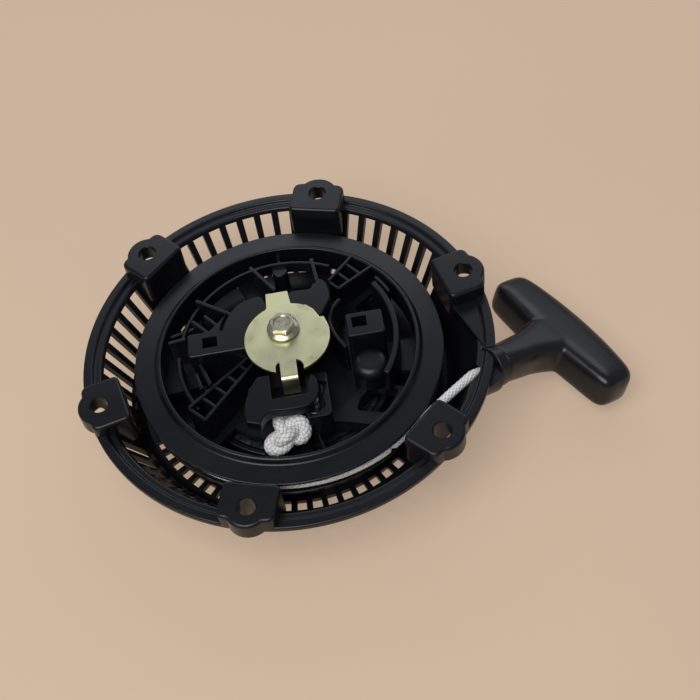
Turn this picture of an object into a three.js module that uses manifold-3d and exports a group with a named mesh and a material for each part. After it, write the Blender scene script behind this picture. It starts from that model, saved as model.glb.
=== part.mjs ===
// Recoil (pull-cord) starter for a small engine, as an assembly of separate pieces.
// Millimetres. The origin is the centre of the outer face that the starter rests on.
// +Z points along the reel's axis towards the engine, and +X is the way the rope is pulled.
import * as THREE from "three";
import { mergeVertices } from "three/addons/utils/BufferGeometryUtils.js";
import Module from "manifold-3d";

const wasm = await Module();
wasm.setup();

// ---------------------------------------------------------------- driving dimensions
const DEG = Math.PI / 180;
const GAP = 0.3; // clearance between pieces that touch or turn on each other

const LUG_TOP = 47; // mounting plane above the resting face
const LUG_COUNT = 6;
const LUG_PITCH = 360 / LUG_COUNT;
const LUG_FIRST = 45; // angle of the first lug
const LUG_R = 94; // radius of the circle of mounting holes
const LUG_HOLE_R = 4.25;
const LUG_WIDTH = 27;
const LUG_INNER_R = 81.5;
const LUG_NOSE_R = 10.5; // round nose about each mounting hole

const WALL = 2.5;
const RIM_R = 100.8;
const RIM_TOP = 39.7;
const RIM_THICK = 3.3;
const CONE_TOP_R = 92.4; // inner face of the conical wall at the rim
const CONE_FOOT_R = 79.2; // inner face of the conical wall at the vented floor
const VENT_FLOOR = 10; // inner face of the vented floor
const DISC_R = 49.5; // raised centre disc that the starter rests on
const SLOT_PITCH = 6;
const HOUSING_FACETS = 360 / SLOT_PITCH; // each vent slot then lies inside one facet
const SLOT_OPEN = 3.8;
const SLOTS_PER_SECTOR = 7;
const OUTLET_SECTOR = 4; // the sector between lugs that holds the rope outlet
const CHAMBER_FLOOR = 3; // floor of the recoil spring's chamber inside the disc
const POST_R = 8;
const POST_TOP = 50.1;
const POST_STEP = 4; // width of the steps about the post and the hub

const DRUM_R = 65; // bottom of the rope groove
const DRUM_INNER_R = 62.5;
const GROOVE_LOW = 26;
const GROOVE_HIGH = 33.5;
const FLANGE_LOW_R = 75;
const FLANGE_HIGH_R = 77;
const REEL_REST = -28.6; // how far the reel's own drawing is turned at rest
const HUB_R = 15;
const HUB_TOP = 49.5;
const WEB_LOW = 21;
const WEB_HIGH = 24;
const WEB_R = 45; // round floor of the web

const ROPE_R = 2.3;
const ROPE_Z = 30; // height of the outermost turn
const ROPE_TURN_R = 73.4; // centre line of the outermost turn
const ROPE_LEAVES = -85; // angle at which the rope leaves the reel
const OUTLET = new THREE.Vector3(70, -69.5, 31);
const OUTLET_SLOPE = 20; // how far the outlet and handle point down from +X
const COLLAR_R = 10.3;
const COLLAR_LENGTH = 4;
const COLLAR_NECK = 1.5; // how far the collar narrows inside the housing

const PLATE_Z = 50.4;
const PLATE_THICK = 1.6;
const PLATE_R = 21;
const PLATE_CENTRE = [1.2, -5];
const LEG_DROP = 12; // how far the guide's bent leg reaches down
const PAWL_TOP = 49.5;
const PAWL_THICK = 6;
const PAWL_PIVOT = [9.6, -40.2];
const PAWL_COIL_R = 3.8; // wire spring about the pawl's pin
const PAWL_PIN_R = 2;
const PAWL_PIN_TOP = PAWL_TOP - 1.5; // the pin ends inside the pawl
const PAWL_ROOM = PAWL_TOP - PAWL_THICK - 3.3; // floor of the room for the pawl's spring
const KNOT_CENTRE = [-5, -47];
const KNOT_R = 10;

const BOLT_R = 4;
const INSERT_R = 5.8;
const INSERT_LOW = 30;
const HANDLE_SEAT = COLLAR_LENGTH + GAP; // where the handle rests on the collar
const HANDLE_HALF = 43;
const HANDLE_HALF_THICK = 9.8;
const STEM_HALF = 9;
const HANDLE_POCKET = HANDLE_SEAT + 39.5; // floor of the pocket that holds the rope's washer and knot

// ---------------------------------------------------------------- solids
const BLACK = { color: 0x17181c, roughness: 0.42, metalness: 0 };
const ZINC = { color: 0xcfc79a, roughness: 0.35, metalness: 0.9 };
const STEEL = { color: 0xb9b8b0, roughness: 0.3, metalness: 1 };
const SPRING = { color: 0x5d6470, roughness: 0.35, metalness: 1 };
const ROPE = { color: 0xe9e9e6, roughness: 0.8, metalness: 0 };

const rad = (degrees) => degrees * DEG;
const polar = (r, degrees) => [r * Math.cos(rad(degrees)), r * Math.sin(rad(degrees))];

// A closed geometry as a manifold-3d solid with its faces pointing out.
function solid(geometry) {
  const bare = geometry.index ? geometry.toNonIndexed() : geometry;
  const merged = mergeVertices(
    new THREE.BufferGeometry().setAttribute("position", bare.getAttribute("position")),
    1e-4,
  );
  const vertProperties = merged.attributes.position.array;
  const triVerts = new Uint32Array(merged.index.array);
  const build = () => new wasm.Manifold(new wasm.Mesh({ numProp: 3, vertProperties, triVerts }));
  if (build().volume() > 0) return build();
  for (let i = 0; i < triVerts.length; i += 3) {
    [triVerts[i + 1], triVerts[i + 2]] = [triVerts[i + 2], triVerts[i + 1]];
  }
  return build();
}

// A solid of revolution about Z from a closed outline of [radius, height] points.
function turned(outline, segments = 48) {
  const points = [...outline, outline[0]].map(([r, z]) => new THREE.Vector2(r, z));
  return solid(new THREE.LatheGeometry(points, segments).rotateX(Math.PI / 2));
}

function ring(inner, outer, low, high, segments = 48) {
  if (inner === 0) return cylinder(outer, low, high, segments);
  return turned([[inner, low], [outer, low], [outer, high], [inner, high]], segments);
}

function cylinder(radius, low, high, segments = 36, x = 0, y = 0) {
  const geometry = new THREE.CylinderGeometry(radius, radius, high - low, segments);
  return solid(geometry.rotateX(Math.PI / 2).translate(x, y, (low + high) / 2));
}

// A prism between two heights over a THREE.Shape or a list of [x, y] points.
function prism(outline, low, high, curveSegments = 8) {
  const isShape = outline instanceof THREE.Shape;
  const shape = isShape ? outline : new THREE.Shape(outline.map(([x, y]) => new THREE.Vector2(x, y)));
  const settings = { depth: high - low, bevelEnabled: false, curveSegments };
  return solid(new THREE.ExtrudeGeometry(shape, settings).translate(0, 0, low));
}

function block(x0, x1, y0, y1, low, high) {
  return prism([[x0, y0], [x1, y0], [x1, y1], [x0, y1]], low, high);
}

// A straight upright wall between two plan points.
function rib([x0, y0], [x1, y1], thick, low, high) {
  const along = new THREE.Vector2(x1 - x0, y1 - y0).normalize().multiplyScalar(thick / 2);
  const [dx, dy] = [-along.y, along.x];
  return prism([[x0 - dx, y0 - dy], [x1 - dx, y1 - dy], [x1 + dx, y1 + dy], [x0 + dx, y0 + dy]], low, high);
}

function sector(inner, outer, from, to, low, high, steps = 6) {
  const angles = Array.from({ length: steps + 1 }, (_, i) => from + ((to - from) * i) / steps);
  const far = angles.map((a) => polar(outer, a));
  const near = angles.map((a) => polar(inner, a)).reverse();
  return prism([...far, ...near], low, high);
}

function joined(solids) {
  return solids.reduce((whole, piece) => whole.add(piece));
}

// A round bar along a list of points, closed at both ends.
function bar(points, radius, steps, sides = 8, closed = false) {
  const section = new THREE.Shape();
  section.absarc(0, 0, radius, 0, 2 * Math.PI);
  const extrudePath = new THREE.CatmullRomCurve3(points, closed, "centripetal");
  return solid(new THREE.ExtrudeGeometry(section, { steps, extrudePath, curveSegments: sides / 2 }));
}

function place(piece, { x = 0, y = 0, z = 0, turn = 0, tilt = 0 }) {
  const matrix = new THREE.Matrix4().makeRotationFromEuler(new THREE.Euler(0, rad(tilt), rad(turn), "ZYX"));
  matrix.setPosition(x, y, z);
  return piece.transform(matrix.toArray());
}

function mesh(name, piece, look) {
  const { vertProperties, triVerts } = piece.getMesh();
  const geometry = new THREE.BufferGeometry()
    .setAttribute("position", new THREE.BufferAttribute(vertProperties, 3))
    .setIndex(new THREE.BufferAttribute(triVerts, 1));
  geometry.computeVertexNormals();
  const made = new THREE.Mesh(geometry, new THREE.MeshStandardMaterial({ ...look, flatShading: true }));
  made.name = name;
  return made;
}

// ---------------------------------------------------------------- housing
const lugAngle = (i) => LUG_FIRST + i * LUG_PITCH;

function housingShell() {
  const coneRun = (WALL - 0.1) / Math.cos(Math.atan2(CONE_TOP_R - CONE_FOOT_R, RIM_TOP - VENT_FLOOR));
  const rimLow = RIM_TOP - RIM_THICK;
  const shell = turned([
    [0, 0],
    [DISC_R - 3, 0],
    [DISC_R, VENT_FLOOR - WALL],
    [CONE_FOOT_R - 1, VENT_FLOOR - WALL],
    [CONE_FOOT_R + coneRun, VENT_FLOOR + 1.2],
    [CONE_TOP_R + coneRun - 0.6, rimLow],
    [RIM_R, rimLow],
    [RIM_R, RIM_TOP],
    [RIM_R - 4.5, RIM_TOP],
    [RIM_R - 5.2, RIM_TOP - 1.5],
    [CONE_TOP_R, RIM_TOP - 1.5],
    [CONE_FOOT_R, VENT_FLOOR + 1.2],
    [CONE_FOOT_R - 1.9, VENT_FLOOR],
    [DISC_R + 1, VENT_FLOOR],
    [DISC_R + 1, VENT_FLOOR + 8],
    [DISC_R - 2, VENT_FLOOR + 8],
    [DISC_R - 4.5, CHAMBER_FLOOR],
    [0, CHAMBER_FLOOR],
  ], HOUSING_FACETS);
  const step = cylinder(POST_R + POST_STEP, 1, CHAMBER_FLOOR + 1.7, 30);
  return joined([shell, step, cylinder(POST_R, 1, POST_TOP, 30)]);
}

// The path of a vent slot, up the floor and the conical wall, as a ring to be cut by sectors.
function ventRing() {
  return turned([
    [DISC_R + 7, VENT_FLOOR - WALL - 2],
    [CONE_FOOT_R + 6, VENT_FLOOR - WALL - 2],
    [CONE_TOP_R + 6, RIM_TOP - RIM_THICK - 0.3],
    [CONE_TOP_R - 6, RIM_TOP - RIM_THICK - 0.3],
    [CONE_FOOT_R - 5, VENT_FLOOR + 4],
    [DISC_R + 7, VENT_FLOOR + 4],
  ], HOUSING_FACETS);
}

function ventSlots() {
  const openings = [];
  for (let lug = 0; lug < LUG_COUNT; lug++) {
    if (lug === OUTLET_SECTOR) continue;
    for (let slot = 0; slot < SLOTS_PER_SECTOR; slot++) {
      const middle = lugAngle(lug) + LUG_PITCH / 2 + (slot - (SLOTS_PER_SECTOR - 1) / 2) * SLOT_PITCH;
      const half = SLOT_OPEN / 2;
      openings.push(sector(DISC_R, RIM_R + 4, middle - half, middle + half, 0, RIM_TOP, 1));
    }
  }
  return ventRing().intersect(joined(openings));
}

// One mounting lug, drawn on +X and turned to its place.
function lug(angle) {
  const half = LUG_WIDTH / 2;
  const pad = new THREE.Shape();
  pad.moveTo(LUG_INNER_R, -half + 1.5);
  pad.lineTo(LUG_INNER_R + 1.5, -half);
  pad.lineTo(LUG_R + 3, -half);
  pad.quadraticCurveTo(LUG_R + 6, -half, LUG_R + 6.5, -LUG_NOSE_R + 1);
  pad.absarc(LUG_R, 0, LUG_NOSE_R, rad(-50), rad(50), false);
  pad.lineTo(LUG_R + 6.5, LUG_NOSE_R - 1);
  pad.quadraticCurveTo(LUG_R + 6, half, LUG_R + 3, half);
  pad.lineTo(LUG_INNER_R + 1.5, half);
  pad.lineTo(LUG_INNER_R, half - 1.5);
  const foot = block(LUG_INNER_R, LUG_R + 1, -half, half, RIM_TOP - 11, RIM_TOP);
  const cone = turned([
    [0, RIM_TOP - 12],
    [CONE_TOP_R - 3.5, RIM_TOP - 12],
    [CONE_TOP_R + 2.4, RIM_TOP],
    [0, RIM_TOP],
  ], HOUSING_FACETS);
  return place(prism(pad, RIM_TOP - RIM_THICK, LUG_TOP, 4).add(foot.intersect(cone)), { turn: angle });
}

const outletPlace = { x: OUTLET.x, y: OUTLET.y, z: OUTLET.z, tilt: 90 + OUTLET_SLOPE };

// The gusset at rim height and the upright wall that stand beside the rope outlet.
function outletStiffeners() {
  const gusset = prism([polar(RIM_R - 4, -17), polar(RIM_R - 4, -42), polar(LUG_INNER_R + 1, -22)], 34, RIM_TOP - 0.8);
  const wall = rib([60, -79], [72, -64], 2, VENT_FLOOR, RIM_TOP - 3);
  return joined([gusset, wall]);
}

function outletBoss() {
  return place(cylinder(COLLAR_R + COLLAR_NECK, -14, -2, 28), outletPlace);
}

function housing() {
  const holes = joined(
    Array.from({ length: LUG_COUNT }, (_, i) => {
      const [x, y] = polar(LUG_R, lugAngle(i));
      return cylinder(LUG_HOLE_R, VENT_FLOOR, LUG_TOP + 1, 16, x, y);
    }),
  );
  const lugs = joined(Array.from({ length: LUG_COUNT }, (_, i) => lug(lugAngle(i))));
  const collarSpace = cylinder(COLLAR_R + COLLAR_NECK + GAP, -2, 24, 28);
  const outletBore = place(cylinder(COLLAR_R - COLLAR_NECK, -20, 0, 24).add(collarSpace), outletPlace);
  const insertBore = cylinder(INSERT_R + GAP, INSERT_LOW - 2, POST_TOP + 1, 32);
  return housingShell()
    .subtract(ventSlots())
    .add(lugs)
    .add(outletStiffeners())
    .add(outletBoss())
    .subtract(holes)
    .subtract(outletBore)
    .subtract(insertBore);
}

// ---------------------------------------------------------------- rope outlet, drawn along +Z and tilted into place
function ropeOutletCollar() {
  const bore = ROPE_R + 2.2;
  return place(
    turned([
      [bore, -8],
      [COLLAR_R - COLLAR_NECK - GAP, -8],
      [COLLAR_R - COLLAR_NECK - GAP, -2 + GAP],
      [COLLAR_R - 0.6, -2 + GAP],
      [COLLAR_R, 0],
      [COLLAR_R, COLLAR_LENGTH - 2.5],
      [COLLAR_R + 0.5, COLLAR_LENGTH - 2],
      [COLLAR_R + 0.5, COLLAR_LENGTH - 0.5],
      [COLLAR_R, COLLAR_LENGTH],
      [bore, COLLAR_LENGTH],
    ], 28),
    outletPlace,
  );
}

function ropeEyelet() {
  return place(
    turned([
      [ROPE_R + 0.9, -9.3],
      [ROPE_R + 2.2, -10.6],
      [ROPE_R + 4.6, -10.4],
      [ROPE_R + 4.6, -9],
      [ROPE_R + 1.9, -8.6],
      [ROPE_R + 1.9, 4],
      [ROPE_R + 0.9, 4],
    ], 20),
    outletPlace,
  );
}

// ---------------------------------------------------------------- reel, in its own drawing frame
// Upright faces of the web that stand on the reel's floor, as plan outlines.
const LEFT_ARM = [[-47, -5.5], [-10, -5.5], [-4, 12], [-9.5, 25.5], [-17.5, 24], [-24.4, 20.5], [-31, 13.7],
  [-36.7, 8.5], [-47, 8.5]];
const TOP_ARM = [[2, 10], [18.8, 7], [24.3, 16.3], [23.9, 26.5], [21, 30.5], [15.7, 24.5], [4.6, 25]];
const RIGHT_ARM = [[30, -9], [48, -9], [48, 5], [30, 5]];
const ARM_DROP = 9;

// A ladder-shaped spoke between two plan points, with cells open from above.
function ladder(from, to, widthFrom, widthTo, cells, low, high) {
  const start = new THREE.Vector2(...from);
  const run = new THREE.Vector2(...to).sub(start);
  const side = new THREE.Vector2(-run.y, run.x).normalize();
  const at = (t, s) => {
    const half = (widthFrom + (widthTo - widthFrom) * t) / 2;
    return start.clone().addScaledVector(run, t).addScaledVector(side, half * s).toArray();
  };
  const pieces = [rib(at(0, 1), at(1, 1), 1.8, low, high), rib(at(0, -1), at(1, -1), 1.8, low, high)];
  for (let i = 0; i <= cells; i++) pieces.push(rib(at(i / cells, -1), at(i / cells, 1), 1.6, low, high));
  return joined(pieces);
}

function reelRing() {
  return turned([
    [DRUM_INNER_R, GROOVE_LOW - 2],
    [FLANGE_LOW_R, GROOVE_LOW - 2],
    [FLANGE_LOW_R, GROOVE_LOW - 0.4],
    [DRUM_R, GROOVE_LOW + 0.3],
    [DRUM_R, GROOVE_HIGH - 0.3],
    [FLANGE_HIGH_R, GROOVE_HIGH + 0.4],
    [FLANGE_HIGH_R, GROOVE_HIGH + 2],
    [DRUM_R + 1, GROOVE_HIGH + 2.6],
    [DRUM_R - 0.6, GROOVE_HIGH + 5],
    [DRUM_INNER_R, GROOVE_HIGH + 5],
  ], 60);
}

// Openings through the web on both sides of the rib beside the knot.
const WEB_OPENINGS = [
  [[28, -37], [31, -30], [38, -24], [46, -27], [50, -29], [42, -41]],
  [[8, -44], [18, -41], [25, -43], [36, -47], [24, -55], [12, -58]],
];

function reelWeb() {
  const inDrum = DRUM_INNER_R + 0.6;
  const floor = cylinder(WEB_R, WEB_LOW, WEB_HIGH, 48);
  const spokes = [
    sector(40, inDrum, -80, -28, WEB_LOW, WEB_HIGH + 4, 6),
    sector(40, inDrum, 206, 226, WEB_LOW, WEB_HIGH, 3),
    sector(40, inDrum, 166, 186, WEB_LOW, WEB_HIGH, 3),
    sector(40, inDrum, 38, 62, WEB_LOW, WEB_HIGH, 3),
    sector(40, inDrum, -16, 3, WEB_LOW, WEB_HIGH, 3),
    sector(40, inDrum, 98, 112, WEB_LOW, WEB_HIGH, 2),
    sector(40, inDrum, 250, 275, WEB_LOW, WEB_HIGH, 3),
  ];
  const ladders = [
    ladder([27.2, 33.4], [43.6, 46.2], 7.4, 12.6, 3, WEB_LOW + 1, 39),
    ladder([-16, -5], [-46, -33], 4, 11, 5, WEB_LOW + 1, 42),
  ];
  const ribs = [
    rib([-13.9, 54], [-2.6, 36], 2, WEB_LOW + 1, 39),
    rib([17.9, 53], [20, 28], 2, WEB_LOW + 1, 39),
    rib([-42.4, 34.5], [-24, 21], 2, WEB_LOW + 1, 43),
    rib([-38.6, 23], [-31, 13.5], 1.8, WEB_LOW + 1, 44),
    rib([-44.9, 21], [-35, 9], 1.8, WEB_LOW + 1, 44),
    rib([1, 50], [1, 63], 2, WEB_LOW + 1, 34),
    sector(52.7, 54.3, 178, 212, WEB_LOW + 1, 39, 4),
  ];
  const longWall = sector(52, 55, -33, 30, WEB_LOW + 1, 44, 8);
  const boss = cylinder(4, WEB_LOW + 1, 37, 20, 1, 50);
  const roundBoss = cylinder(9, WEB_LOW + 1, 43, 24, 38.5, -19);
  const pawlSeat = prism(
    [[-21, -24], [-21, -36], [-6, -42], [2, -47], [17, -47], [17, -22]],
    WEB_LOW + 1,
    PAWL_TOP - PAWL_THICK - GAP,
  );
  const web = joined([floor, ...spokes, ...ladders, ...ribs, longWall, boss, roundBoss, pawlSeat]);
  return web.subtract(joined(WEB_OPENINGS.map((outline) => prism(outline, WEB_LOW - 1, WEB_HIGH + 5))));
}

function reelArms() {
  const low = WEB_LOW + 1;
  const arms = [prism(LEFT_ARM, HUB_TOP - ARM_DROP, HUB_TOP), prism(TOP_ARM, HUB_TOP - ARM_DROP, HUB_TOP)];
  const rightArm = prism(RIGHT_ARM, low, HUB_TOP);
  const leftLeg = rib([-46, 1.5], [-12, 1.5], 13, low, HUB_TOP - 1);
  const topLeg = rib([12, 12], [20, 27], 6, low, HUB_TOP - 1);
  const holes = [
    block(-39.8, -32.6, -1.4, 4.8, low - 2, HUB_TOP + 1),
    block(32.8, 40, -3.9, 2.3, low - 2, HUB_TOP + 1),
  ];
  return joined([...arms, rightArm, leftLeg, topLeg]).subtract(joined(holes));
}

const pawlSpringEnd = [PAWL_PIVOT[0] + 4, PAWL_PIVOT[1] + 12];

function reel() {
  const hub = cylinder(HUB_R, WEB_LOW, HUB_TOP, 36).add(cylinder(POST_R + POST_STEP, 6, WEB_LOW + 1, 30));
  const bore = cylinder(POST_R + GAP, 0, HUB_TOP + 1, 36);
  const springSeat = cylinder(HUB_R - 3, POST_TOP - 2.6, HUB_TOP + 1, 36);
  const catchAngle = -REEL_REST - 7; // just behind the inner end of the recoil spring
  const springCatch = rib(polar(POST_R + 2, catchAngle), polar(POST_R + 6, catchAngle), 1.6, 6, 14);
  const [knotX, knotY] = KNOT_CENTRE;
  const knotPocket = cylinder(KNOT_R + 0.5, WEB_LOW + 2, HUB_TOP + 1, 24, knotX, knotY);
  const knotWall = ring(KNOT_R + 0.5, KNOT_R + 2.5, WEB_LOW + 1, 36, 24).translate([knotX, knotY, 0]);
  const ropeHole = place(cylinder(ROPE_R + 0.5, 0, 26, 12), { x: knotX, y: knotY, z: ROPE_Z, turn: -118, tilt: 90 });
  const pinHole = cylinder(PAWL_PIN_R + GAP, WEB_LOW + POST_STEP, HUB_TOP, 20, ...PAWL_PIVOT);
  const coilSpace = cylinder(PAWL_COIL_R + 1.1, PAWL_ROOM, HUB_TOP, 24, ...PAWL_PIVOT);
  const [endX, endY] = pawlSpringEnd;
  const tailSpace = rib(PAWL_PIVOT, [endX, endY + 1], 6.5, PAWL_ROOM, HUB_TOP);
  const legSpace = block(-13, 6.5, -33, -17, PLATE_Z + PLATE_THICK - LEG_DROP - 1.5, HUB_TOP + 1);
  const inside = cylinder(DRUM_INNER_R + 0.6, 0, HUB_TOP + 2, 60);
  return joined([reelWeb(), reelArms(), hub, knotWall])
    .intersect(inside)
    .subtract(knotPocket)
    .add(reelRing())
    .add(springCatch)
    .subtract(joined([bore, springSeat, ropeHole, pinHole, coilSpace, tailSpace, legSpace]));
}

// ---------------------------------------------------------------- rope
function ropeWinding() {
  const inner = DRUM_R + GAP;
  const outer = ROPE_TURN_R - ROPE_R - GAP;
  return turned([
    [inner, GROOVE_LOW + 0.9],
    [outer - 1, GROOVE_LOW + 0.5],
    [outer, GROOVE_LOW + 1.5],
    [outer, GROOVE_HIGH - 1.5],
    [outer - 1, GROOVE_HIGH - 0.5],
    [inner, GROOVE_HIGH - 0.9],
  ], 48);
}

// A plain closed lump about the knot that holds the rope's end.
function knot(radius, length) {
  const profile = Array.from({ length: 9 }, (_, i) => {
    const angle = rad(-90 + (i * 180) / 8);
    return [Math.max(0, radius * Math.cos(angle)), (length / 2) * Math.sin(angle)];
  });
  return solid(
    new THREE.LatheGeometry(profile.map(([r, z]) => new THREE.Vector2(r, z)), 20).rotateX(Math.PI / 2),
  );
}

const alongOutlet = (distance) =>
  new THREE.Vector3(
    OUTLET.x + distance * Math.cos(rad(OUTLET_SLOPE)),
    OUTLET.y,
    OUTLET.z - distance * Math.sin(rad(OUTLET_SLOPE)),
  );

// The rope from the outermost turn, through the outlet, to the knot in the handle.
const ROPE_POINTS = [
  new THREE.Vector3(...polar(ROPE_TURN_R, ROPE_LEAVES), ROPE_Z),
  new THREE.Vector3(20, -72.1, ROPE_Z + 0.2),
  new THREE.Vector3(34, -70.9, ROPE_Z + 1.2),
  new THREE.Vector3(46, -70, ROPE_Z + 3),
  new THREE.Vector3(54, -69.6, ROPE_Z + 4.2),
  ...[-12, -8, -3, 4, 12, 22, 32, HANDLE_POCKET + 2.4].map(alongOutlet),
];

// ---------------------------------------------------------------- pawl and ratchet guide, in the reel's frame
function pawl() {
  const outline = new THREE.Shape();
  outline.moveTo(-15.4, -23.4);
  outline.quadraticCurveTo(-19.5, -28, -22.3, -36.7);
  outline.quadraticCurveTo(-23.4, -42, -22.6, -47.7);
  outline.lineTo(-16.1, -50.2);
  outline.quadraticCurveTo(-14.6, -44.6, -9, -43.9);
  outline.quadraticCurveTo(-1, -45.2, 6.5, -44);
  outline.quadraticCurveTo(13, -42, 12.6, -33);
  outline.quadraticCurveTo(12.5, -28, 9.5, -26.5);
  outline.lineTo(7.5, -31.5);
  outline.lineTo(-9.5, -31.5);
  outline.lineTo(-9.5, -23.2);
  const slot = block(-9.5, 7.5, -37.3, -20, 0, 80);
  const pinHole = cylinder(PAWL_PIN_R + GAP, 0, PAWL_PIN_TOP + GAP, 20, ...PAWL_PIVOT);
  return prism(outline, PAWL_TOP - PAWL_THICK, PAWL_TOP, 6).subtract(slot).subtract(pinHole);
}

function ratchetGuide() {
  const [cx, cy] = PLATE_CENTRE;
  const top = PLATE_Z + PLATE_THICK;
  const disc = cylinder(PLATE_R, PLATE_Z, top, 60, cx, cy);
  const tab = prism([[-7, 12], [5, 12], [4.6, 19.4], [4.2, 23.4], [-6.6, 23.4]], PLATE_Z, top);
  const notch = prism([[8.2, 19], [8.2, 16.2], [12, 13.2], [15.6, 9.4], [18, 4.2], [22, 3.6], [26, 12]], 0, 80);
  const relief = new THREE.Shape();
  relief.moveTo(-6, -30);
  relief.lineTo(-6, -21.5);
  relief.quadraticCurveTo(-5, -18, 0.5, -18);
  relief.quadraticCurveTo(6.4, -18, 7.2, -22.5);
  relief.lineTo(7.2, -30);
  const leg = block(-4, 4, -29.6, -17, PLATE_Z, top).add(block(-4, 4, -29.6, -28, top - LEG_DROP, top));
  const bolt = cylinder(BOLT_R + GAP, 0, 80, 24);
  return disc.add(tab).subtract(notch).subtract(prism(relief, 0, 80)).add(leg).subtract(bolt);
}

function frictionSpring() {
  const low = POST_TOP - 2.3;
  return turned([
    [POST_R + 0.5, low + 1.3],
    [HUB_R - 3.6, low],
    [HUB_R - 3.6, low + 0.8],
    [POST_R + 0.5, low + 2.1],
  ], 36);
}

// ---------------------------------------------------------------- centre fasteners
function centreBolt() {
  const head = PLATE_Z + PLATE_THICK + GAP + 1.6;
  const shank = cylinder(BOLT_R, INSERT_LOW + 1, head + 0.1, 24);
  const flange = turned([[0, head - 1.3], [7.8, head - 1.3], [8, head - 0.6], [6.2, head + 0.4], [0, head + 0.4]], 36);
  const hex = cylinder(6.5, head, head + 3.9, 6);
  const crown = turned([[0, head - 1], [8, head - 1], [8, head + 2.6], [5.3, head + 4], [0, head + 4]], 36);
  return joined([shank, flange]).add(hex.intersect(crown));
}

// ---------------------------------------------------------------- springs
// A flat spiral strip about Z, wound from the hub to the wall of its chamber.
function recoilSpring() {
  const turns = 5;
  const stepsPerTurn = 18;
  const inner = POST_R + 5.2;
  const outer = DISC_R - 6.5;
  const thick = 1.2;
  const point = (i, offset) => {
    const t = i / (turns * stepsPerTurn);
    return polar(inner + (outer - inner) * t + offset, t * turns * 360);
  };
  const count = turns * stepsPerTurn + 1;
  const outside = Array.from({ length: count }, (_, i) => point(i, thick / 2));
  const inside = Array.from({ length: count }, (_, i) => point(i, -thick / 2)).reverse();
  return prism([...outside, ...inside], 4.5, 14.5);
}

// The small wire spring that holds the pawl in, wound once about its pin under the pawl.
function pawlSpring() {
  const z = PAWL_TOP - PAWL_THICK - 2.2;
  const [x, y] = PAWL_PIVOT;
  const points = Array.from({ length: 13 }, (_, i) => {
    const [dx, dy] = polar(PAWL_COIL_R, 100 + i * 24);
    return new THREE.Vector3(x + dx, y + dy, z - i * 0.02);
  });
  const [endX, endY] = pawlSpringEnd;
  points.push(new THREE.Vector3(endX, endY - 3, z), new THREE.Vector3(endX, endY, z));
  return bar(points, 0.5, 40, 6);
}

// ---------------------------------------------------------------- handle, drawn with the stem along +X
function handleGrip() {
  const half = HANDLE_HALF;
  const seat = HANDLE_SEAT;
  const outline = new THREE.Shape();
  outline.moveTo(seat, -STEM_HALF);
  outline.lineTo(seat + 18.5, -STEM_HALF);
  outline.quadraticCurveTo(seat + 26, -10, seat + 29.5, -16);
  outline.lineTo(seat + 34.5, -half + 4);
  outline.quadraticCurveTo(seat + 35.5, -half, seat + 39.5, -half);
  outline.lineTo(seat + 47.5, -half + 1.5);
  outline.quadraticCurveTo(seat + 51.5, -half + 4, seat + 52.5, -half + 9);
  outline.quadraticCurveTo(seat + 62.5, 0, seat + 52.5, half - 9);
  outline.quadraticCurveTo(seat + 51.5, half - 4, seat + 47.5, half - 1.5);
  outline.lineTo(seat + 39.5, half);
  outline.quadraticCurveTo(seat + 35.5, half, seat + 34.5, half - 4);
  outline.lineTo(seat + 29.5, 16);
  outline.quadraticCurveTo(seat + 26, 10, seat + 18.5, STEM_HALF);
  outline.lineTo(seat, STEM_HALF);
  const bevel = 4;
  const settings = {
    depth: 2 * (HANDLE_HALF_THICK - bevel), bevelEnabled: true, bevelThickness: bevel, bevelSize: bevel,
    bevelOffset: -bevel, bevelSegments: 2, curveSegments: 5,
  };
  const body = solid(new THREE.ExtrudeGeometry(outline, settings).translate(0, 0, bevel - HANDLE_HALF_THICK));
  const ropeBore = cylinder(ROPE_R + 0.8, -60, 60, 16);
  const pocket = cylinder(7, HANDLE_POCKET, seat + 70, 24);
  const along = (piece) => place(piece, { tilt: 90 });
  return body.subtract(along(ropeBore.add(pocket)));
}

// ---------------------------------------------------------------- assembly
const starter = new THREE.Group();
starter.add(
  mesh("housing", housing(), BLACK),
  mesh("rope_outlet_collar", ropeOutletCollar(), BLACK),
  mesh("rope_eyelet", ropeEyelet(), STEEL),
  mesh("post_insert", ring(BOLT_R + GAP, INSERT_R, INSERT_LOW, POST_TOP - 0.4, 28), STEEL),
  mesh("centre_bolt", centreBolt(), STEEL),
  mesh("recoil_spring", recoilSpring(), SPRING),
  mesh("spring_cover", ring(POST_R + 7.6, DISC_R - 3, 15.4, 16.4, 60), SPRING),
  mesh("thrust_washer", ring(POST_R + GAP, POST_R + 3.6, 5, 5.7, 36), STEEL),
  mesh("rope_run", bar(ROPE_POINTS, ROPE_R, 36), ROPE),
);

const reelGroup = new THREE.Group();
reelGroup.rotation.z = rad(REEL_REST);
reelGroup.add(
  mesh("reel", reel(), BLACK),
  mesh("rope_winding", ropeWinding(), ROPE),
  mesh("rope_knot", knot(KNOT_R, 13).translate([...KNOT_CENTRE, WEB_HIGH + 8]), ROPE),
  mesh("pawl", pawl(), BLACK),
  mesh("pawl_pin", cylinder(PAWL_PIN_R, WEB_LOW + POST_STEP + GAP, PAWL_PIN_TOP, 20, ...PAWL_PIVOT), STEEL),
  mesh("pawl_spring", pawlSpring(), SPRING),
  mesh("ratchet_guide", ratchetGuide(), ZINC),
  mesh("friction_spring", frictionSpring(), SPRING),
);
starter.add(reelGroup);

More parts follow.
